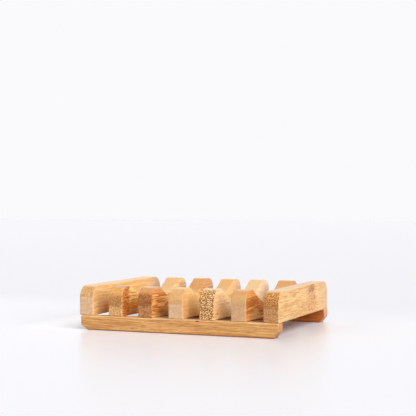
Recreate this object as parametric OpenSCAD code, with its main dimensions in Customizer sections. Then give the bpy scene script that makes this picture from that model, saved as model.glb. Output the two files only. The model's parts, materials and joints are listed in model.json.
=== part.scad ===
// Bamboo soap dish: slats on edge across two rails, glued and bradded from below.
// The inner slats are scooped out together, so that the soap lies in a shallow
// hollow, and the plain slats at both ends keep it from sliding off.
// Origin: centre of the footprint, on the surface that the dish stands on.
// +X runs along the rails, +Y along the slats to the back, and +Z is up.

/* [Dish] */
// Length, from the left end slat's outer face to the rails' right ends
dish_l = 120.9; // [100:0.1:160]
// Depth, from the front rail's face to the back rail's
dish_d = 90; // [75:1:130]

/* [Rails] */
// Height of a rail
rail_h = 8.2; // [7:0.1:11]
// Width of a rail from front to back
rail_w = 6.8; // [6:0.1:14]
// Radius that sanding leaves on a rail's long edges
rail_ease = 0.8; // [0.3:0.1:1.4]
// Cut under the left end of a rail, along the rail
left_cut_run = 4.6; // [2:0.1:8]
// Cut under the left end of a rail, up the end
left_cut_rise = 2.8; // [1:0.1:5]
// Cut under the right end of a rail, along the rail
right_cut_run = 3; // [2:0.1:8]
// Cut under the right end of a rail, up the end
right_cut_rise = 3.8; // [1:0.1:5]

/* [Slats] */
// Thickness of a slat
slat_t = 8.7; // [6:0.1:12]
// Height of a slat above the rails
slat_h = 16.8; // [15:0.1:22]
// How far the left end slat stands out past the rails' left ends
left_overhang = 0.9; // [0:0.1:2]
// How far the right end slat stands back from the rails' right ends
right_reveal = 0.2; // [0:0.1:1.5]
// How far the slats' ends stand back from the rails' outer faces
reveal = 0.4; // [0:0.1:1.5]
// Radius of a slat's upper corners, seen from the side
end_r = 6.5; // [3:0.1:8]
// Radius that sanding leaves on a slat's edges
slat_ease = 0.5; // [0.2:0.1:1]

/* [Hollow] */
// From a slat's end to where the scoop begins
land_l = 11.6; // [10:0.1:20]
// Depth of the scoop at its middle
scoop_depth = 10.5; // [4:0.1:11]
// Radius where the scoop runs out into the level length
brink_r = 2; // [2:0.5:4]

/* [Brads] */
// Length of a brad from its head to its point
brad_l = 15; // [13:0.5:18]
// Width of the brad wire
brad_w = 1.25; // [0.9:0.05:1.5]
// Thickness of the brad wire
brad_t = 1; // [0.8:0.05:1.3]
// Width of a brad's head
head_w = 2; // [1.6:0.1:3]
// Height of a brad's head
head_h = 0.7; // [0.5:0.1:1.2]
// Length of a brad's chisel point
point_l = 1.8; // [1:0.1:3]
// How far a brad's head is driven in past the rail's underside
brad_sink = 0.5; // [0.2:0.1:1]
// Space round a brad in the bamboo
brad_gap = 0.02; // [0.01:0.01:0.1]
// Least bamboo along the rail between a brad and a cut corner
brad_land = 0.6; // [0.4:0.1:1.5]

/* [Hidden] */
slat_count = 7;
inner_count = slat_count - 2;
round_fn = 48;
scoop_fn = 160;
overrun = 1;                                   // how far every cut runs past its face
point_flat_share = 0.2;                        // of the wire's width left at the very point

// Rails: their length, and their middle along X
rail_l = dish_l - left_overhang;
rail_x = left_overhang/2;

// Slats: where they lie, and their pitch along the rails
slat_l = dish_d - 2*reveal;
slat_first_x = -dish_l/2 + slat_t/2;
slat_pitch = (dish_l - right_reveal - slat_t)/(slat_count - 1);
function slat_x(i) = slat_first_x + i*slat_pitch;

// Scoop: the circle through both brinks and the lowest point
scoop_half = slat_l/2 - land_l;
scoop_r = (scoop_half*scoop_half + scoop_depth*scoop_depth)/(2*scoop_depth);
scoop_z = slat_h - scoop_depth + scoop_r;      // height of the circle's centre
// Brink: the small circle that touches the level top and the scoop
brink_z = slat_h - brink_r;
brink_y = sqrt(pow(scoop_r + brink_r, 2) - pow(scoop_z - brink_z, 2));
touch_share = scoop_r/(scoop_r + brink_r);     // of the way from scoop centre to brink centre
touch_y = brink_y*touch_share;
touch_z = scoop_z + (brink_z - scoop_z)*touch_share;

// Brads: one under each end of each slat, in the middle of the rail, and under the slat's
// own middle unless a cut corner of the rail is there
brad_y = dish_d/2 - rail_w/2;
brad_half = brad_t/2 + brad_gap;
brad_low_x = rail_x - rail_l/2 + left_cut_run + brad_land + brad_half;
brad_high_x = rail_x + rail_l/2 - right_cut_run - brad_land - brad_half;
function brad_x(i) = min(max(slat_x(i), brad_low_x), brad_high_x);

// Tones of the bamboo, one for each slat from left to right
slat_tones = ["#dcb07a", "#cf9a5f", "#b9783f", "#deb580", "#d8b684", "#d0a068", "#e6bf85"];
rail_tone = "#d29b5c";
steel_tone = "#a9adb0";

// A rectangle about the origin with its four corners rounded
module eased_rect(w, h, r) {
    square([w - 2*r, h], center = true);
    square([w, h - 2*r], center = true);
    for (sx = [-1, 1], sy = [-1, 1])
        translate([sx*(w/2 - r), sy*(h/2 - r)])
            circle(r, $fn = round_fn);
}

// Lays an outline drawn in Y and Z across the dish, as thick as t along X
module across(t) {
    rotate([90, 0, 90])
        translate([0, 0, -t/2])
            linear_extrude(height = t)
                children();
}

// Stands an outline drawn in X and Z upright, as thick as t along Y
module upright(t) {
    rotate([90, 0, 0])
        translate([0, 0, -t/2])
            linear_extrude(height = t)
                children();
}

// Brads

// A brad seen from the side of the dish, point up and head at z = 0, grown by g all round
module brad_outline(g = 0) {
    flat = brad_w*point_flat_share;
    polygon([
        [-head_w/2 - g, -g],
        [head_w/2 + g, -g],
        [head_w/2 + g, head_h + g],
        [brad_w/2 + g, head_h + g],
        [brad_w/2 + g, brad_l - point_l],
        [flat/2 + g, brad_l + g],
        [-flat/2 - g, brad_l + g],
        [-brad_w/2 - g, brad_l - point_l],
        [-brad_w/2 - g, head_h + g],
        [-head_w/2 - g, head_h + g]
    ]);
}

module brad() {
    across(brad_t)
        brad_outline();
}

// The hole that a brad leaves, open to the rail's underside
module brad_hole() {
    across(brad_t + 2*brad_gap)
        union() {
            brad_outline(brad_gap);
            translate([-head_w/2 - brad_gap, -brad_sink - overrun])
                square([head_w + 2*brad_gap, brad_sink + overrun]);
        }
}

// Puts what follows where each brad of a rail is, at the height of its head
module at_brads(side) {
    for (i = [0:slat_count - 1])
        translate([brad_x(i), side*brad_y, brad_sink])
            children();
}

module brads(side) {
    color(steel_tone)
        at_brads(side)
            brad();
}

// Rails

// A rail seen from the front, with both lower corners cut off
module rail_front_outline() {
    polygon([
        [-rail_l/2, left_cut_rise],
        [-rail_l/2 + left_cut_run, 0],
        [rail_l/2 - right_cut_run, 0],
        [rail_l/2, right_cut_rise],
        [rail_l/2, rail_h],
        [-rail_l/2, rail_h]
    ]);
}

module rail(side) {
    color(rail_tone)
        difference() {
            translate([rail_x, side*brad_y, 0])
                intersection() {
                    upright(rail_w)
                        rail_front_outline();
                    translate([0, 0, rail_h/2])
                        across(rail_l)
                            eased_rect(rail_w, rail_h, rail_ease);
                    linear_extrude(height = rail_h)
                        eased_rect(rail_l, rail_w, rail_ease);
                }
            at_brads(side)
                brad_hole();
        }
}

// Slats

// A disc lying across the dish, as thick as a slat, with its rim eased
module eased_disc(r) {
    rotate([0, 90, 0])
        rotate_extrude($fn = round_fn)
            intersection() {
                eased_rect(2*r, slat_t, slat_ease);
                translate([0, -slat_t/2])
                    square([r, slat_t]);
            }
}

// A plain slat resting on z = 0: square below, its upper corners rounded by two discs
module slat_blank() {
    intersection() {
        union() {
            linear_extrude(height = slat_h - end_r)
                eased_rect(slat_t, slat_l, slat_ease);
            translate([0, 0, slat_h/2])
                upright(slat_l - 2*end_r)
                    eased_rect(slat_t, slat_h, slat_ease);
            for (s = [-1, 1])
                translate([0, s*(slat_l/2 - end_r), slat_h - end_r])
                    eased_disc(end_r);
        }
        translate([0, 0, slat_h])
            upright(slat_l)
                eased_rect(slat_t, 2*slat_h, slat_ease);
    }
}

// The wheel that scoops a slat out, flared at both sides to ease the scoop's edges
module scoop_wheel() {
    translate([0, 0, scoop_z])
        rotate([0, 90, 0])
            rotate_extrude($fn = scoop_fn) {
                translate([0, -slat_t/2 - overrun])
                    square([scoop_r, slat_t + 2*overrun]);
                for (s = [-1, 1])
                    scale([1, s])
                        difference() {
                            translate([scoop_r, slat_t/2 - slat_ease])
                                square([slat_ease, slat_ease + overrun]);
                            translate([scoop_r + slat_ease, slat_t/2 - slat_ease])
                                circle(slat_ease, $fn = round_fn);
                        }
            }
}

// What rounds a brink of the scoop off: the corner there, less a small disc
module brink_corner() {
    difference() {
        across(slat_t + 2*overrun)
            polygon([
                [brink_y, brink_z],
                [brink_y, slat_h + overrun],
                [touch_y, slat_h + overrun],
                [touch_y, touch_z]
            ]);
        translate([0, brink_y, brink_z])
            eased_disc(brink_r);
    }
}

// The holes for slat i's two brads, in the frame of the slat
module slat_brad_holes(i) {
    for (s = [-1, 1])
        translate([brad_x(i) - slat_x(i), s*brad_y, brad_sink - rail_h])
            brad_hole();
}

// Slat i, with its place and its tone
module place_slat(i) {
    color(slat_tones[i])
        translate([slat_x(i), 0, rail_h])
            children();
}

module end_slat(i) {
    place_slat(i)
        difference() {
            slat_blank();
            slat_brad_holes(i);
        }
}

module scooped_slat(i) {
    place_slat(i)
        difference() {
            slat_blank();
            scoop_wheel();
            brink_corner();
            mirror([0, 1, 0])
                brink_corner();
            slat_brad_holes(i);
        }
}

rail(-1);  // front_rail
rail(1);  // back_rail
end_slat(0);  // left_end_slat
for (i = [1:inner_count])
    scooped_slat(i);
end_slat(slat_count - 1);  // right_end_slat
brads(-1);  // front_brads
brads(1);  // back_brads
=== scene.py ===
import json
import math
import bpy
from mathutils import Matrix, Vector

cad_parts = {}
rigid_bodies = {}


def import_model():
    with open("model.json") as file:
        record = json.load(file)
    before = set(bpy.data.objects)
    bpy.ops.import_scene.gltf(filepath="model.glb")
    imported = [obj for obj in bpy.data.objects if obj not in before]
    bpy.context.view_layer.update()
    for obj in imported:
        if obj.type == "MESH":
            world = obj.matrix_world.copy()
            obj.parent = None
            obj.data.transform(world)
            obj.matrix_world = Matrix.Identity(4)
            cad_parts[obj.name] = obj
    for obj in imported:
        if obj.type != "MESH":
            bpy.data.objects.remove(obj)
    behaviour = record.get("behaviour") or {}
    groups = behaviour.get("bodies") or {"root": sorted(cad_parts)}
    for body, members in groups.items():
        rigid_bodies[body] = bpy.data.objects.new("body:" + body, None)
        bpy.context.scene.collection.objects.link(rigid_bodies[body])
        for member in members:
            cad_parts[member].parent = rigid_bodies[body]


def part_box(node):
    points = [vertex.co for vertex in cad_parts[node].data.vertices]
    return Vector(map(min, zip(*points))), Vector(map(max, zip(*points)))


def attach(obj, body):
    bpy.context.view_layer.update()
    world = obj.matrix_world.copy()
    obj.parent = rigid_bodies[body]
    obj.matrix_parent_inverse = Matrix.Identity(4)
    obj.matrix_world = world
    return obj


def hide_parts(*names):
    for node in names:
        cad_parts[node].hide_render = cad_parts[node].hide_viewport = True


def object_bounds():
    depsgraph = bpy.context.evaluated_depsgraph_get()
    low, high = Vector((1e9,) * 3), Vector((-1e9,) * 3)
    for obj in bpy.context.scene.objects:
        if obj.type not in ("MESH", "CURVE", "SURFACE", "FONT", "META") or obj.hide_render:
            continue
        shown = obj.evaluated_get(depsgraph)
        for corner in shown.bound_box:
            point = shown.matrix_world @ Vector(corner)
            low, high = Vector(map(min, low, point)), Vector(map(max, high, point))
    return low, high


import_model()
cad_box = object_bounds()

from types import SimpleNamespace

import bmesh
import bpy
from mathutils import Matrix, Vector

mm = 0.001

# Camera: a long lens, a little above the dish and round to its right, as the
# photograph was taken. Its place and aim were solved from the dish's own edges.
camera_azimuth = math.radians(22.989)
camera_elevation = math.radians(5.713)
camera_distance = 642.165*mm
camera_turn = math.radians(22.962)
camera_dip = math.radians(0.418)
camera_roll = math.radians(-0.141)
circled_point = Vector((0.45*mm, 0, 10*mm))
lens_length = 93.83
sensor_w = 36

camera_data = bpy.data.cameras.new("camera")
camera_data.sensor_width = sensor_w
camera_data.lens = lens_length
camera = bpy.data.objects.new("camera", camera_data)
towards_camera = Vector((
    math.sin(camera_azimuth)*math.cos(camera_elevation),
    -math.cos(camera_azimuth)*math.cos(camera_elevation),
    math.sin(camera_elevation)))
camera.matrix_world = (
    Matrix.Translation(circled_point + towards_camera*camera_distance)
    @ Matrix.Rotation(camera_turn, 4, "Z")
    @ Matrix.Rotation(math.pi/2 - camera_dip, 4, "X")
    @ Matrix.Rotation(camera_roll, 4, "Z"))
bpy.context.scene.collection.objects.link(camera)
bpy.context.scene.camera = camera

# Rails: two planed bamboo bars that lie along the front and the back, with their
# long edges sanded round and both lower corners sawn off. Their fibres run along X.
# The slats are glued on top, and seven brads go up through each rail.
rail_ease = 0.8*mm
left_cut_run = 4.6*mm
left_cut_rise = 2.8*mm
right_cut_run = 3.0*mm
right_cut_rise = 3.8*mm
corner_share = 1.25          # a corner of an outline is this much rounder than its edges
corner_steps = 8
ease_steps = 4


def arc(centre, radius, first, last, steps):
    """Points on a circle from the first angle to the last, in radians."""
    return [centre + Vector((math.cos(turn), math.sin(turn)))*radius
            for turn in (first + (last - first)*k/steps for k in range(steps + 1))]


def rounded(corners, radii, steps=corner_steps):
    """The closed outline through the corners, each rounded to its own radius."""
    outline = []
    for i, corner in enumerate(corners):
        back = (Vector(corners[i - 1]) - Vector(corner)).normalized()
        ahead = (Vector(corners[(i + 1) % len(corners)]) - Vector(corner)).normalized()
        half = back.angle(ahead)/2
        centre = Vector(corner) + (back + ahead).normalized()*(radii[i]/math.sin(half))
        start = Vector(corner) + back*(radii[i]/math.tan(half)) - centre
        first = math.atan2(start.y, start.x)
        outline += arc(centre, radii[i], first, first + math.pi - 2*half, steps)
    return outline


def inset(outline, depth):
    """The outline, which runs anticlockwise, moved inwards by the depth."""
    moved = []
    for i, point in enumerate(outline):
        before = (point - outline[i - 1]).normalized()
        after = (outline[(i + 1) % len(outline)] - point).normalized()
        turned = before.orthogonal() + after.orthogonal()
        moved.append(point + turned*(depth/(1 + before.dot(after))))
    return moved


def put_in_scene(name, mesh):
    """An object of the scene, made of the mesh."""
    data = bpy.data.meshes.new(name)
    mesh.to_mesh(data)
    mesh.free()
    made = bpy.data.objects.new(name, data)
    bpy.context.scene.collection.objects.link(made)
    return made


def sanded_board(name, outline, thickness, ease, place):
    """A board of the outline's shape, both its faces eased into its edge.

    place(u, v, w) puts a point of the outline (u, v), w off its middle, in the dish."""
    mesh = bmesh.new()
    rings = []
    for side in (-1, 1):
        turns = [k/ease_steps*math.pi/2 for k in range(ease_steps + 1)]
        for turn in turns if side < 0 else reversed(turns):
            off_middle = side*(thickness/2 - ease*(1 - math.cos(turn)))
            rings.append([mesh.verts.new(place(point.x, point.y, off_middle))
                          for point in inset(outline, ease*(1 - math.sin(turn)))])
    for ring, next_ring in zip(rings, rings[1:]):
        for i in range(len(outline)):
            mesh.faces.new((ring[i - 1], ring[i], next_ring[i], next_ring[i - 1]))
    for cap in (rings[0], rings[-1]):
        mesh.faces.new(cap)
    bmesh.ops.recalc_face_normals(mesh, faces=mesh.faces)
    board = put_in_scene(name, mesh)
    board.data.shade_smooth()
    return board


def paint(red, green, blue):
    """A colour from its 0 to 255 screen values, by the usual screen curve."""
    return (*[pow((value/255 + 0.055)/1.055, 2.4) for value in (red, green, blue)], 1)


def feed(tree, socket, value):
    """Links the socket to the output given, or sets it to the plain value given."""
    if isinstance(value, bpy.types.NodeSocket):
        tree.links.new(value, socket)
    else:
        socket.default_value = value


def add(tree, kind, settings=None, **sockets):
    """Adds a node and feeds its sockets. A space in a socket's name is written as _."""
    made = tree.nodes.new("ShaderNode" + kind)
    for name, value in (settings or {}).items():
        setattr(made, name, value)
    for name, value in sockets.items():
        feed(tree, made.inputs[name.replace("_", " ")], value)
    return made


def calc(tree, operation, *values, kind="Math"):
    """The result of one sum of that kind on the values."""
    made = add(tree, kind, {"operation": operation})
    for socket, value in zip(made.inputs, values):
        feed(tree, socket, value)
    return made.outputs[0]


def fade(tree, value, none, full):
    """Rises smoothly from 0 where the value is at none to 1 where it is at full."""
    return add(tree, "MapRange", {"interpolation_type": "SMOOTHSTEP"}, Value=value,
               From_Min=none, From_Max=full).outputs["Result"]


def band(tree, value, low, high, soft):
    """1 where the value lies between low and high, with soft borders."""
    return calc(tree, "MULTIPLY", fade(tree, value, low - soft, low + soft),
                fade(tree, value, high + soft, high - soft))


def laid_on(tree, share, under, over):
    """The colour over, laid on the colour under by its share."""
    # The Mix node's sockets for colours come after those for numbers and vectors
    share_socket, under_socket, over_socket, result_socket = 0, 6, 7, 2
    made = add(tree, "Mix", {"data_type": "RGBA"})
    feed(tree, made.inputs[share_socket], share)
    feed(tree, made.inputs[under_socket], under)
    feed(tree, made.inputs[over_socket], over)
    return made.outputs[result_socket]


def clouds(tree, place, scale, detail=2.0, rough=0.5, output="Fac"):
    """Soft noise round 0.5, with a scale for each of the place's three parts."""
    scaled = calc(tree, "MULTIPLY", place, scale, kind="VectorMath")
    made = add(tree, "TexNoise", Vector=scaled, Scale=1.0, Detail=detail, Roughness=rough)
    return made.outputs[output]


def strayed(tree, value, noise, reach):
    """The value, moved up and down by the noise, within the reach from low to high."""
    return calc(tree, "MULTIPLY_ADD", noise, reach, calc(tree, "ADD", value, -reach/2))


def lie_of_grain(tree, fibres, seed, wave):
    """Where a point lies in a board whose fibres run along X or Y, and how it faces.

    place is across the fibres, up and along them, in millimetres, and bent is the same
    with the wander of the fibres, wave millimetres deep, taken out. The seed gives each
    board a grain of its own. shown is 1 on the side towards the front or the right."""
    coordinates = add(tree, "TexCoord").outputs
    here = add(tree, "SeparateXYZ", Vector=coordinates["Object"]).outputs
    facing = add(tree, "SeparateXYZ", Vector=coordinates["Normal"]).outputs
    across, way_out = ("Y", -1) if fibres == "X" else ("X", 1)
    turned = add(tree, "CombineXYZ", X=here[across], Y=here["Z"], Z=here[fibres]).outputs[0]
    own_start = [31*seed, 17*seed, 53*seed]
    place = calc(tree, "MULTIPLY_ADD", turned, [1/mm]*3, own_start, kind="VectorMath")
    long_wave = 2.4
    sway = clouds(tree, place, (0.08, 0.08, 0.03), output="Color")
    ripple = clouds(tree, place, (0.4, 0.4, 0.16), output="Color")
    bent = calc(tree, "MULTIPLY_ADD", sway, (long_wave, long_wave, 0), place,
                kind="VectorMath")
    bent = calc(tree, "MULTIPLY_ADD", ripple, (wave, wave, 0), bent, kind="VectorMath")
    return SimpleNamespace(
        place=place, bent=bent,
        height=calc(tree, "MULTIPLY", here["Z"], 1/mm),
        along=calc(tree, "MULTIPLY", here[fibres], 1/mm),
        faces_across=calc(tree, "ABSOLUTE", facing[across]),
        shown=fade(tree, calc(tree, "MULTIPLY", facing[across], way_out),
                   none=0.4, full=0.8),
        faces_along=calc(tree, "ABSOLUTE", facing[fibres]),
        faces_up=facing["Z"])


def bundle_marks(tree, lie, look):
    """1 at the middle of each fibre bundle, and 0 between them.

    Where the look says that they are crowded, the marks are their winding gaps instead."""
    gap_across, gap_up = look["bundle_gap"]
    spread = calc(tree, "MULTIPLY", lie.bent, (1/gap_across, 1/gap_up, 0), kind="VectorMath")
    settings = {"voronoi_dimensions": "2D"}
    if look["crowded"]:
        settings["feature"] = "DISTANCE_TO_EDGE"
    cells = add(tree, "TexVoronoi", settings, Vector=spread, Scale=1.0, Randomness=1.0)
    raggedness = 0.8
    ragged = calc(tree, "MULTIPLY_ADD", clouds(tree, lie.bent, (2.2, 2.2, 0.08)),
                  raggedness, cells.outputs["Distance"])
    if not look["crowded"]:
        return fade(tree, ragged, none=0.84, full=0.6)
    gaps = fade(tree, ragged, none=0.74, full=0.56)
    broken = fade(tree, clouds(tree, lie.place, (1.7, 1.7, 0.05)), none=0.4, full=0.5)
    return calc(tree, "MULTIPLY", gaps, broken)


def cut_lengthwise(tree, lie, streaks, marks, look):
    """The colour along the fibres: streaks, bundles as lines, and short dark flecks.

    Where the scoop cuts across them on a slope, they are sanded to a more even tone."""
    drift = 0.4
    drifting = strayed(tree, streaks, clouds(tree, lie.place, (0.1, 0.13, 0.02)), drift)
    colour = laid_on(tree, fade(tree, drifting, *look["streak"]), look["dark"], look["light"])
    lines = calc(tree, "MULTIPLY", marks, look["lines"])
    colour = laid_on(tree, lines, colour, look["pore"])
    specks = fade(tree, clouds(tree, lie.bent, (2.2, 2.2, 0.18)), none=0.56, full=0.68)
    colour = laid_on(tree, calc(tree, "MULTIPLY", specks, look["flecks"]), colour, look["pore"])
    sanded_slope, sanded_top = 0.8, 0.4
    slope = calc(tree, "MULTIPLY", fade(tree, lie.faces_along, none=0.15, full=0.4),
                 sanded_slope)
    sanded = calc(tree, "MAXIMUM", slope, calc(tree, "MULTIPLY", lie.faces_up, sanded_top))
    return laid_on(tree, sanded, colour, look["sanded"])


def cut_across(tree, lie, marks, look):
    """The colour across the fibres: two mottled plies, dotted with the bundles' ends."""
    glue_middle = look["ply_top"] + 0.5
    glue_half = 0.1
    glue_soft = 0.15
    glue_share = 0.25
    blotches = clouds(tree, lie.place, (0.35, 0.5, 0.1), detail=4.0, rough=0.65)
    height = calc(tree, "ADD", lie.height, clouds(tree, lie.place, (0.5, 0.5, 0.1)))
    upper = fade(tree, height, none=glue_middle - 2*glue_half, full=glue_middle + 2*glue_half)
    low, high = look["plies"]
    tone, blotch, dot = [laid_on(tree, upper, below, above) for below, above in zip(low, high)]
    colour = laid_on(tree, fade(tree, blotches, none=0.36, full=0.64), tone, blotch)
    rays = fade(tree, clouds(tree, lie.place, (2.0, 0.15, 0), detail=3.0), none=0.45, full=0.7)
    colour = laid_on(tree, calc(tree, "MULTIPLY", rays, look["rays"]), colour, dot)
    if look["zone"]:
        bottom, top, zone_tone, zone_share = look["zone"]
        zone_reach = 6.0
        zone_soft = 1.0
        dash_share = 0.6
        stray = strayed(tree, lie.height, blotches, zone_reach)
        dashes = fade(tree, clouds(tree, lie.place, (1.6, 0.8, 0)), none=0.4, full=0.58)
        dashed = calc(tree, "MULTIPLY_ADD", dashes, dash_share*zone_share,
                      (1 - dash_share)*zone_share)
        inside = calc(tree, "MULTIPLY", band(tree, stray, bottom, top, zone_soft), dashed)
        colour = laid_on(tree, inside, colour, zone_tone)
    lower_dots, upper_dots = look["dots"]
    dots = add(tree, "MapRange", Value=upper, To_Min=lower_dots, To_Max=upper_dots)
    colour = laid_on(tree, calc(tree, "MULTIPLY", marks, dots.outputs["Result"]), colour, dot)
    glue = band(tree, height, glue_middle - glue_half, glue_middle + glue_half, glue_soft)
    return laid_on(tree, calc(tree, "MULTIPLY", glue, glue_share), colour, dot)


def growth_ring(tree, lie, colour, ring):
    """Lays a growth ring on the sides: a tinted band with dark beads in it."""
    ring_reach = 6.0
    bead_share = 0.85
    blotches = clouds(tree, lie.place, (0.5, 0.55, 0.2), detail=3.0)
    stray = strayed(tree, lie.along, blotches, ring_reach)
    off_ring = calc(tree, "ABSOLUTE", calc(tree, "SUBTRACT", stray, ring["place"]))
    inside = calc(tree, "MULTIPLY",
                  fade(tree, off_ring, none=ring["half_width"], full=ring["half_width"]/2),
                  fade(tree, lie.faces_along, none=0.5, full=0.2))
    tinted = calc(tree, "MULTIPLY", inside, ring["share"])
    colour = laid_on(tree, tinted, colour, ring["tint"])
    beads = fade(tree, clouds(tree, lie.place, (0.9, 0.9, 0.35), detail=1.0), *ring["beads"])
    dark = calc(tree, "MULTIPLY", calc(tree, "MULTIPLY", inside, beads), bead_share)
    return laid_on(tree, dark, colour, ring["dark"])


def spot_mark_or_painted_light(tree, lie, colour, along, height, reach_along, reach_up, tone, share):
    """Lays a ragged oval spot of the tone on a board's shown side. Some spots are real marks,
    others painted shade or painted light.
    """
    off_middle = [
        calc(tree, "DIVIDE", calc(tree, "SUBTRACT", lie.along, along), reach_along),
        calc(tree, "DIVIDE", calc(tree, "SUBTRACT", lie.height, height), reach_up)]
    squares = [calc(tree, "MULTIPLY", off, off) for off in off_middle]
    raggedness = 2.4
    ragged = calc(tree, "MULTIPLY_ADD", clouds(tree, lie.place, (0.9, 0.9, 0.5), detail=3.0),
                  raggedness, calc(tree, "ADD", *squares))
    inside = fade(tree, ragged, none=2.2, full=1.3)
    on_side = calc(tree, "MULTIPLY", lie.shown, share)
    return laid_on(tree, calc(tree, "MULTIPLY", inside, on_side), colour, tone)


def tinted_side(tree, lie, colour, look):
    """Lays the look's tints on the shown side: painted shade on its back part, a tint on its
    very front, and painted shade on all of it.
    """
    painted_shade_reach = 20, 44
    front_part = -37, -43
    all_along = None
    for key, reach in (("painted_shade_back", painted_shade_reach), ("shown_front", front_part),
                       ("shown", all_along)):
        if look[key]:
            share, tone = look[key]
            inside = calc(tree, "MULTIPLY", lie.shown, share)
            if reach:
                inside = calc(tree, "MULTIPLY", inside, fade(tree, lie.along, *reach))
            colour = laid_on(tree, inside, colour, tone)
    return colour


def bamboo(name, fibres, seed, own_look):
    """The material of one board, whose fibres run along X or Y."""
    look = {**plain_look, **own_look}
    material = bpy.data.materials.new(name)
    material.use_nodes = True
    tree = material.node_tree
    skin = tree.nodes["Principled BSDF"]
    skin.inputs["Specular IOR Level"].default_value = 0.3

    lie = lie_of_grain(tree, fibres, seed, look["wave"])
    marks = bundle_marks(tree, lie, look)
    streaks = clouds(tree, lie.bent, look["streak_scale"], detail=4.0, rough=0.65)
    end_face = fade(tree, lie.faces_along, none=0.3, full=0.5)
    near_end = fade(tree, calc(tree, "ABSOLUTE", lie.along),
                    none=look["end_from"], full=look["end_from"] + 1)
    colour = laid_on(tree, calc(tree, "MULTIPLY", end_face, near_end),
                     cut_lengthwise(tree, lie, streaks, marks, look),
                     cut_across(tree, lie, marks, look))
    colour = tinted_side(tree, lie, colour, look)
    if look["crown"]:
        bottom, tone = look["crown"]
        crown_share = 0.7
        stray = calc(tree, "ADD", lie.height, clouds(tree, lie.place, (0.4, 0.4, 0.05)))
        crown = fade(tree, stray, none=bottom - 0.6, full=bottom + 1.6)
        colour = laid_on(tree, calc(tree, "MULTIPLY", crown, crown_share), colour, tone)
    if look["ring"]:
        colour = growth_ring(tree, lie, colour, look["ring"])
    for spot in look["spots"]:
        colour = spot_mark_or_painted_light(tree, lie, colour, *spot)

    # Painted highlight: the eased long edges are paler, as they catch the light
    edge_highlight_tone = paint(255, 228, 180)
    contact_shadow_share = 0.6
    eased = band(tree, lie.faces_across, low=0.35, high=0.85, soft=0.1)
    edge = calc(tree, "MULTIPLY", eased, fade(tree, lie.height, *look["edge_highlight_heights"]))
    colour = laid_on(tree, calc(tree, "MULTIPLY", edge, look["edge"]), colour, edge_highlight_tone)
    # Painted contact shadow: the lowest edge of a rail is darker
    foot = fade(tree, lie.height, none=1.3, full=0.3)
    colour = laid_on(tree, calc(tree, "MULTIPLY", foot, contact_shadow_share), colour, look["pore"])
    # Painted highlight: all that faces up is paler, as though it caught more light
    share, tone = look["top"]
    top_face = fade(tree, lie.faces_up, none=0.88, full=1.0)
    colour = laid_on(tree, calc(tree, "MULTIPLY", top_face, share), colour, tone)
    tree.links.new(colour, skin.inputs["Base Color"])

    # The bundles lie a little deeper than the wood between them, and the top is smoother
    bundle_depth = -0.6
    dullness = 0.55
    smoother_top = -0.1
    smoother_streaks = -0.2
    relief = calc(tree, "MULTIPLY_ADD", marks, bundle_depth, streaks)
    bump = add(tree, "Bump", Height=relief, Strength=0.3, Distance=0.12*mm)
    tree.links.new(bump.outputs[0], skin.inputs["Normal"])
    dull = calc(tree, "MULTIPLY_ADD", top_face, smoother_top, dullness)
    dull = calc(tree, "MULTIPLY_ADD", streaks, smoother_streaks, dull)
    tree.links.new(dull, skin.inputs["Roughness"])
    return material


# A look has light and dark for the streaks, pore for the bundles' lines and the flecks,
# sanded for the slopes, and plies: for the lower and then the upper ply, the end grain's
# two tones and its dots' tone. The rest is here, as most boards have it. Lengths are in
# millimetres, and a share of 1 hides what is below.
plain_look = dict(
    streak=(0.42, 0.58),                     # from all dark to all light in the noise
    streak_scale=(1.3, 1.3, 0.09),           # how fine they are across, up and along
    wave=1.4,                                # how deep the fibres wander
    lines=0.2,                               # share of the bundles' lines
    flecks=0.3,                              # share of the flecks
    bundle_gap=(1.2, 1.2),                   # from bundle to bundle, across and up
    crowded=False,                           # so many bundles that their gaps show instead
    ply_top=16.6,                            # where the lower ply ends
    dots=(0.4, 0.4),                         # share of the dots, lower and upper ply
    rays=0.2,                                # share of the fine upright rays
    zone=None,                               # dark layer: bottom, top, tone and share
    crown=None,                              # tinted top layer: its bottom and tone
    ring=None,                               # growth ring: place along, width, tones
    spots=(),                                # place along and up, reaches, tone and share
    edge=0.3,                                # share of the painted highlight on the eased long edges
    edge_highlight_heights=(22, 19),                   # where they begin to show, and show in full
    top=(0.3, paint(255, 236, 204)),         # share and tone of the painted highlight on all that faces up
    shown=None,                              # share and tone of painted shade on the whole front or right side
    painted_shade_back=(0.6, paint(216, 179, 149)),  # share and tone of painted shade on that side's back part
    shown_front=None,                        # share and tone of a tint on that side's first millimetres
    end_from=36)                             # where the ends begin, from the middle
rail_end = paint(212, 156, 106), paint(198, 138, 88), paint(160, 100, 56)
pale_rail_end = paint(220, 172, 136), paint(208, 156, 118), paint(172, 118, 80)
rail_look = dict(
    light=paint(232, 178, 112), dark=paint(202, 144, 80), pore=paint(160, 96, 46),
    sanded=paint(214, 158, 94), plies=(rail_end, rail_end), flecks=0.65, ply_top=30,
    edge_highlight_heights=(5, 7.5), wave=0.5, streak_scale=(1.1, 1.5, 0.05), end_from=50,
    painted_shade_back=None, spots=(
        (14, 7.5, 7, 1.2, paint(226, 150, 96), 0.6),
        (13.2, 7.6, 1.5, 0.6, paint(84, 36, 18), 0.9)))
rail_looks = {
    "front_rail": rail_look,
    # Same bamboo as the front rail: its darker tones and the deep orange on its front face are
    # painted shade from the slats above
    "back_rail": {**rail_look, "light": paint(228, 168, 102), "dark": paint(198, 132, 70),
                  "plies": (pale_rail_end, pale_rail_end), "spots": (),
                  "shown": (0.7, paint(194, 98, 34))},
}

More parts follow.
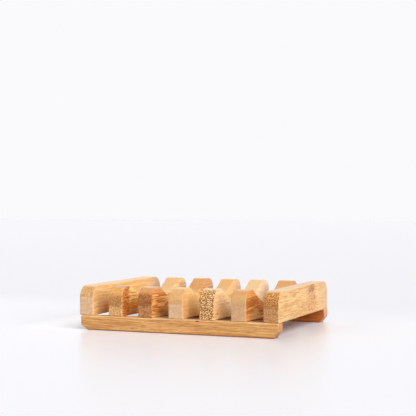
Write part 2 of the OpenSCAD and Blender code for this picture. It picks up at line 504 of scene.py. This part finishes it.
for seed, (name, look) in enumerate(rail_looks.items()):
    low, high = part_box(name)
    middle = (high.y + low.y)/2
    corners = [
        (low.x, left_cut_rise),
        (low.x + left_cut_run, 0),
        (high.x - right_cut_run, 0),
        (high.x, right_cut_rise),
        (high.x, high.z),
        (low.x, high.z)]
    outline = rounded(corners, [corner_share*rail_ease]*len(corners))
    rail = sanded_board(name + "_bar", outline, high.y - low.y, rail_ease,
                        lambda u, v, w: (u, middle + w, v))
    rail.data.materials.append(bamboo(name + "_bamboo", "X", seed, look))
    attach(rail, "root")
    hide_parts(name)

# Slats: seven strips on edge, each of two plies, glued across the rails, their upper
# corners rounded off. The five inner ones are scooped out in one pass along an arc,
# which runs out through a small brink into the level ends. Their fibres run along Y.
slat_ease = 0.5*mm
end_r = 7*mm
end_steps = 12
land_l = 11.6*mm
scoop_depth = 10.5*mm
brink_r = 1.4*mm
scoop_steps = 48
brink_steps = 5
slat_looks = {
    "left_end_slat": dict(
        light=paint(242, 200, 140), dark=paint(224, 174, 110), pore=paint(180, 112, 56),
        sanded=paint(236, 188, 128), rays=0.35, wave=0.8, streak_scale=(1.0, 1.0, 0.04),
        plies=((paint(232, 198, 160), paint(220, 182, 142), paint(198, 152, 108)),
               (paint(220, 176, 122), paint(204, 154, 98), paint(176, 118, 68))),
        ply_top=18.6, lines=0.1, flecks=0.2, edge=0.2,
        # painted shade on the back part of its side
        painted_shade_back=(0.8, paint(194, 163, 140)),
        # the spot is painted shade with orange bounce, where the next slat shades this side
        spots=((-26, 12, 6.5, 3.2, paint(238, 112, 34), 0.55),)),
    "scooped_slat_1": dict(
        light=paint(255, 218, 142), dark=paint(224, 142, 62), pore=paint(150, 76, 24),
        streak=(0.4, 0.54), sanded=paint(218, 174, 120), streak_scale=(1.2, 1.2, 0.06),
        plies=((paint(232, 184, 126), paint(216, 164, 104), paint(138, 76, 28)),
               (paint(232, 174, 104), paint(218, 156, 84), paint(136, 80, 32))),
        dots=(0.5, 0.25), zone=(14, 20.5, paint(138, 80, 30), 0.6), edge=0.1,
        shown_front=(0.2, paint(150, 84, 30)),
        ring=dict(place=-40, half_width=5.5, share=0.8, tint=paint(192, 112, 40),
                  dark=paint(140, 68, 18), beads=(0.48, 0.66))),
    "scooped_slat_2": dict(
        light=paint(255, 204, 124), dark=paint(200, 116, 46), pore=paint(124, 58, 20),
        streak=(0.42, 0.56), sanded=paint(200, 136, 70), streak_scale=(1.5, 1.5, 0.06),
        plies=((paint(198, 142, 86), paint(180, 120, 68), paint(106, 58, 24)),
               (paint(214, 144, 74), paint(190, 118, 54), paint(98, 46, 12))),
        dots=(0.5, 0.6), zone=(15, 21.2, paint(136, 70, 20), 0.75), wave=1.0,
        crown=(21.8, paint(214, 154, 98)), edge=0.1,
        # the spot is painted shade: a darker lower side
        spots=((-28, 11, 8, 3.6, paint(148, 68, 22), 0.35),)),
    "scooped_slat_3": dict(
        light=paint(250, 208, 144), dark=paint(238, 188, 120), pore=paint(184, 118, 58),
        sanded=paint(214, 162, 102), wave=0.8, streak_scale=(1.2, 1.2, 0.05),
        plies=((paint(228, 192, 154), paint(214, 176, 134), paint(198, 152, 112)),
               (paint(226, 178, 116), paint(210, 162, 106), paint(186, 134, 80))),
        lines=0.1, dots=(0.4, 0.15), edge=0.2,
        shown_front=(0.45, paint(206, 142, 80)),
        # the spot is painted orange bounce and shade on the lower side
        spots=((-30, 10.5, 8, 3, paint(226, 148, 74), 0.4),)),
    "scooped_slat_4": dict(
        light=paint(255, 240, 200), dark=paint(252, 212, 154), pore=paint(204, 130, 72),
        lines=0.25, flecks=0.45, sanded=paint(222, 182, 128),
        streak_scale=(1.5, 1.5, 0.06), wave=1.0,
        plies=((paint(250, 208, 146), paint(238, 188, 118), paint(116, 54, 14)),)*2,
        dots=(0.96, 0.96), rays=0, crowded=True, bundle_gap=(1.6, 1.05), edge=0.15,
        # the second tint is painted shade on the back part of its side
        shown_front=(0.3, paint(214, 150, 90)), painted_shade_back=(0.65, paint(232, 204, 182)),
        # the first spot is painted light on the lower side; the second is a small dark mark
        spots=((-32, 10.5, 8, 4, paint(255, 224, 150), 0.8),
               (-39.2, 11.4, 1.4, 0.8, paint(150, 74, 34), 0.7))),
    "scooped_slat_5": dict(
        light=paint(255, 190, 104), dark=paint(194, 112, 48), pore=paint(132, 66, 20),
        sanded=paint(206, 160, 108), streak_scale=(1.6, 1.6, 0.035), wave=0.7,
        plies=((paint(218, 176, 134), paint(206, 162, 118), paint(184, 134, 90)),
               (paint(208, 164, 112), paint(212, 168, 116), paint(176, 126, 80))),
        dots=(0.25, 0.15), crown=(22.4, paint(212, 148, 82)), edge=0.15,
        shown_front=(0.3, paint(190, 116, 56)),
        # the spot is painted light on the lower side
        spots=((-30, 11, 9, 4.2, paint(255, 206, 124), 0.75),)),
    "right_end_slat": dict(
        light=paint(240, 202, 140), dark=paint(216, 160, 94), pore=paint(186, 122, 62),
        streak=(0.4, 0.56), streak_scale=(1.6, 1.6, 0.07), lines=0.15, flecks=0.25,
        sanded=paint(236, 196, 136), wave=0.9, bundle_gap=(0.85, 0.85),
        plies=((paint(210, 160, 104), paint(196, 142, 88), paint(136, 84, 40)),
               (paint(228, 170, 100), paint(214, 150, 80), paint(120, 66, 22))),
        dots=(0.65, 0.9), zone=(16, 21, paint(158, 96, 42), 0.6), edge=0.35,
        # a stronger painted highlight on its top
        top=(0.6, paint(238, 198, 154)),
        ring=dict(place=14, half_width=9, share=0.5, tint=paint(220, 160, 106),
                  dark=paint(168, 108, 80), beads=(0.54, 0.7)),
        spots=((13, 22.6, 6.5, 2.8, paint(158, 98, 66), 0.75),)),
}


def slat_outline(low, high, scooped):
    """A slat seen from its side: two square corners below, two round ones above."""
    corners = [(low.y, low.z), (high.y, low.z), (high.y, high.z), (low.y, high.z)]
    small_r = corner_share*slat_ease
    outline = rounded(corners, [small_r, small_r, end_r, end_r], end_steps)
    if not scooped:
        return outline
    half = (high.y - low.y)/2 - land_l
    scoop_r = (half**2 + scoop_depth**2)/(2*scoop_depth)
    scoop_centre = Vector((0, high.z - scoop_depth + scoop_r))
    brink_rise = scoop_centre.y - (high.z - brink_r)
    brink_y = math.sqrt((scoop_r + brink_r)**2 - brink_rise**2)
    touch = math.atan2(brink_rise, brink_y)
    back_brink = arc(Vector((brink_y, high.z - brink_r)), brink_r,
                     math.pi/2, math.pi - touch, brink_steps)
    scoop = arc(scoop_centre, scoop_r, -touch, touch - math.pi, scoop_steps)
    front_brink = arc(Vector((-brink_y, high.z - brink_r)), brink_r,
                      touch, math.pi/2, brink_steps)
    # The scoop comes after the outline's third corner, the upper one at the back
    third_end = 3*(end_steps + 1)
    return (outline[:third_end] + back_brink + scoop[1:-1] + front_brink
            + outline[third_end:])


for seed, (name, look) in enumerate(slat_looks.items(), 2):
    low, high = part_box(name)
    middle = (low.x + high.x)/2
    slat = sanded_board(name + "_strip", slat_outline(low, high, name.startswith("scooped")),
                        high.x - low.x, slat_ease, lambda u, v, w: (middle + w, u, v))
    slat.data.materials.append(bamboo(name + "_bamboo", "Y", seed, look))
    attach(slat, "root")
    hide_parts(name)

# Brads: fourteen bright steel wire brads, driven from below through the rails and
# almost halfway up the slats, seven to a rail. Each has a flat head, sunk a little into
# the rail, and a chisel point, and stands in the narrow hole that it made.
brad_l = 15*mm
brad_w = 1.25*mm
brad_t = 1.0*mm
head_w = 2.0*mm
head_h = 0.7*mm
point_l = 1.8*mm
point_w = 0.25*mm
brad_sink = 0.5*mm
brad_gap = 0.02*mm
brad_land = 0.6*mm
brad_ease = 0.06*mm
overrun = 1*mm


def brad_outline(y, z, gap=0, below=0):
    """A brad seen along X, its point up, its middle at y and its head's foot at z.

    Its hole is wider by the gap all round, and runs on below."""
    halves = [
        (head_w/2 + gap, -below), (head_w/2 + gap, head_h + gap),
        (brad_w/2 + gap, head_h + gap), (brad_w/2 + gap, brad_l - point_l),
        (point_w/2 + gap, brad_l + gap)]
    return [Vector((y + u, z + v)) for u, v in halves] + [
        Vector((y - u, z + v)) for u, v in reversed(halves)]


def joined(name, pieces):
    """One object of all the pieces."""
    mesh = bmesh.new()
    for piece in pieces:
        mesh.from_mesh(piece.data)
        bpy.data.objects.remove(piece)
    return put_in_scene(name, mesh)


def drill(board, cutter):
    """Cuts the cutter's shape out of the board, and keeps the holes' rims sharp."""
    sharp_from = math.radians(30)
    all_by_area = 100
    cut = board.modifiers.new("brad holes", "BOOLEAN")
    cut.operation = "DIFFERENCE"
    cut.solver = "EXACT"
    cut.object = cutter
    bpy.context.view_layer.update()
    drilled = board.evaluated_get(bpy.context.evaluated_depsgraph_get())
    board.data = bpy.data.meshes.new_from_object(drilled)
    board.modifiers.clear()
    board.data.set_sharp_from_angle(angle=sharp_from)
    settle = board.modifiers.new("flat faces", "WEIGHTED_NORMAL")
    settle.weight = all_by_area
    settle.keep_sharp = True


steel = bpy.data.materials.new("brad_steel")
steel.use_nodes = True
tree = steel.node_tree
skin = tree.nodes["Principled BSDF"]
skin.inputs["Metallic"].default_value = 1.0
place = add(tree, "TexCoord").outputs["Object"]
drawn = clouds(tree, place, (4/mm, 4/mm, 0.15/mm), detail=3.0)
tarnish = fade(tree, clouds(tree, place, (0.9/mm, 0.9/mm, 0.3/mm)), none=0.3, full=0.7)
colour = laid_on(tree, tarnish, paint(150, 152, 155), paint(196, 198, 200))
tree.links.new(colour, skin.inputs["Base Color"])
smoothest, drawn_lines = 0.2, 0.3
tree.links.new(calc(tree, "MULTIPLY_ADD", drawn, drawn_lines, smoothest),
               skin.inputs["Roughness"])
bump = add(tree, "Bump", Height=drawn, Strength=0.2, Distance=0.02*mm)
tree.links.new(bump.outputs[0], skin.inputs["Normal"])

cutters = []
for rail_name in ("front_rail", "back_rail"):
    low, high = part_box(rail_name)
    rail_middle = (low.y + high.y)/2
    end_room = brad_land + brad_t/2 + brad_gap
    brads = []
    for name in slat_looks:
        slat_low, slat_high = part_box(name)
        x = (slat_low.x + slat_high.x)/2
        x = max(x, low.x + left_cut_run + end_room)
        x = min(x, high.x - right_cut_run - end_room)
        brads.append(sanded_board(
            "brad", brad_outline(rail_middle, low.z + brad_sink), brad_t, brad_ease,
            lambda u, v, w: (x + w, u, v)))
        cutters.append(sanded_board(
            "brad_hole", brad_outline(rail_middle, low.z + brad_sink, brad_gap, overrun),
            brad_t + 2*brad_gap, brad_ease, lambda u, v, w: (x + w, u, v)))
    set_of_brads = joined(rail_name.replace("rail", "brads_steel"), brads)
    set_of_brads.data.materials.append(steel)
    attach(set_of_brads, "root")
    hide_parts(rail_name.replace("rail", "brads"))

holes = joined("brad_holes", cutters)
for board in [item for item in bpy.data.objects if item.name.endswith(("_bar", "_strip"))]:
    drill(board, holes)
bpy.data.objects.remove(holes)

# Table and light: a pale table top under three soft lamps, the main one high on the
# right, a weak one low on the left and a weak one behind. The camera sees the table
# and what is behind it nearly white, with the dish's soft shadow and its warm bounce.
# A warm shade is painted under the dish, and painted light lifts the shadow left of it.
table_half = 3.0
backdrop = paint(250, 250, 252)
table_white = paint(241, 240, 245)
table_shade = paint(150, 128, 116)     # what the table throws back at the dish
table_painted_warm_shade = paint(188, 146, 134)      # painted warm shade under the dish, seen by the camera
warm_beside = -8*mm, -45*mm            # where that begins and is full, in from the ends
warm_before = -3*mm, -12*mm            # and in from the front and the back
table_glow = 0.06                      # what the camera sees on top of the lamps' light
glow_edge = -6*mm, 8*mm                # where that begins and is full round the dish
glow_end = 160*mm, 50*mm               # and where it ends behind the dish
left_shadow_painted_light = 0.15                       # painted light: how much more glow lifts the shadow left of the dish
left_shadow_x = -95*mm, -60*mm, 12*mm  # where that lies, and how soft its borders are
left_shadow_y = -40*mm, 55*mm, 20*mm
lamps = {
    "right_softbox": {"energy": 4.0, "turn": 62, "rise": 34, "spread": 60, "mirrored": True},
    "left_softbox": {"energy": 1.1, "turn": -35, "rise": 14, "spread": 40, "mirrored": True},
    "back_softbox": {"energy": 0.8, "turn": -125, "rise": 35, "spread": 60, "mirrored": False},
}


def seen_directly(tree):
    """1 for what the camera sees itself, in a mirror or through glass, and 0 otherwise."""
    path = add(tree, "LightPath").outputs
    either = calc(tree, "MAXIMUM", path["Is Camera Ray"], path["Is Glossy Ray"])
    return calc(tree, "MAXIMUM", either, path["Is Transmission Ray"])


table_mesh = bpy.data.meshes.new("table_top")
table_mesh.from_pydata([(-1, -1, 0), (1, -1, 0), (1, 1, 0), (-1, 1, 0)], [], [(0, 1, 2, 3)])
table_mesh.transform(Matrix.Scale(table_half, 4))
table = bpy.data.objects.new("table_top", table_mesh)
bpy.context.scene.collection.objects.link(table)
table_paint = bpy.data.materials.new("table_white")
table_paint.use_nodes = True
tree = table_paint.node_tree
lacquer = tree.nodes["Principled BSDF"]
lacquer.inputs["Roughness"].default_value = 0.3
lacquer.inputs["Emission Color"].default_value = (1, 1, 1, 1)
seen = seen_directly(tree)
here = add(tree, "SeparateXYZ", Vector=add(tree, "TexCoord").outputs["Object"]).outputs
beside, before = [
    calc(tree, "SUBTRACT", calc(tree, "ABSOLUTE", here[axis]), half)
    for axis, half in (("X", cad_box[1].x), ("Y", cad_box[1].y))]
# Painted warm shade: the camera sees the table darker and warmer under the dish
under = calc(tree, "MULTIPLY", fade(tree, beside, *warm_beside),
             fade(tree, before, *warm_before))
tint = laid_on(tree, under, table_white, table_painted_warm_shade)
tree.links.new(laid_on(tree, seen, table_shade, tint), lacquer.inputs["Base Color"])
clear_of_dish = calc(tree, "MULTIPLY",
                     fade(tree, calc(tree, "MAXIMUM", beside, before), *glow_edge),
                     fade(tree, here["Y"], *glow_end))
# Painted light: more glow where the dish's shadow falls to its left
left_shadow = calc(tree, "MULTIPLY", band(tree, here["X"], *left_shadow_x),
                   band(tree, here["Y"], *left_shadow_y))
glow = calc(tree, "MULTIPLY_ADD", left_shadow, left_shadow_painted_light, table_glow)
glow = calc(tree, "MULTIPLY", clear_of_dish, glow)
tree.links.new(calc(tree, "MULTIPLY", glow, seen), lacquer.inputs["Emission Strength"])
table_mesh.materials.append(table_paint)

behind = bpy.data.worlds.new("backdrop")
bpy.context.scene.world = behind
behind.use_nodes = True
tree = behind.node_tree
tree.nodes.clear()
wall = add(tree, "Background", Color=backdrop, Strength=seen_directly(tree))
add(tree, "OutputWorld", Surface=wall.outputs[0])

for name, lamp in lamps.items():
    sun = bpy.data.lights.new(name, "SUN")
    sun.energy = lamp["energy"]
    sun.angle = math.radians(lamp["spread"])
    hung = bpy.data.objects.new(name, sun)
    hung.visible_glossy = lamp["mirrored"]
    hung.matrix_world = (Matrix.Rotation(math.radians(lamp["turn"]), 4, "Z")
                         @ Matrix.Rotation(math.radians(90 - lamp["rise"]), 4, "X"))
    bpy.context.scene.collection.objects.link(hung)

bpy.context.scene.view_settings.view_transform = "Standard"
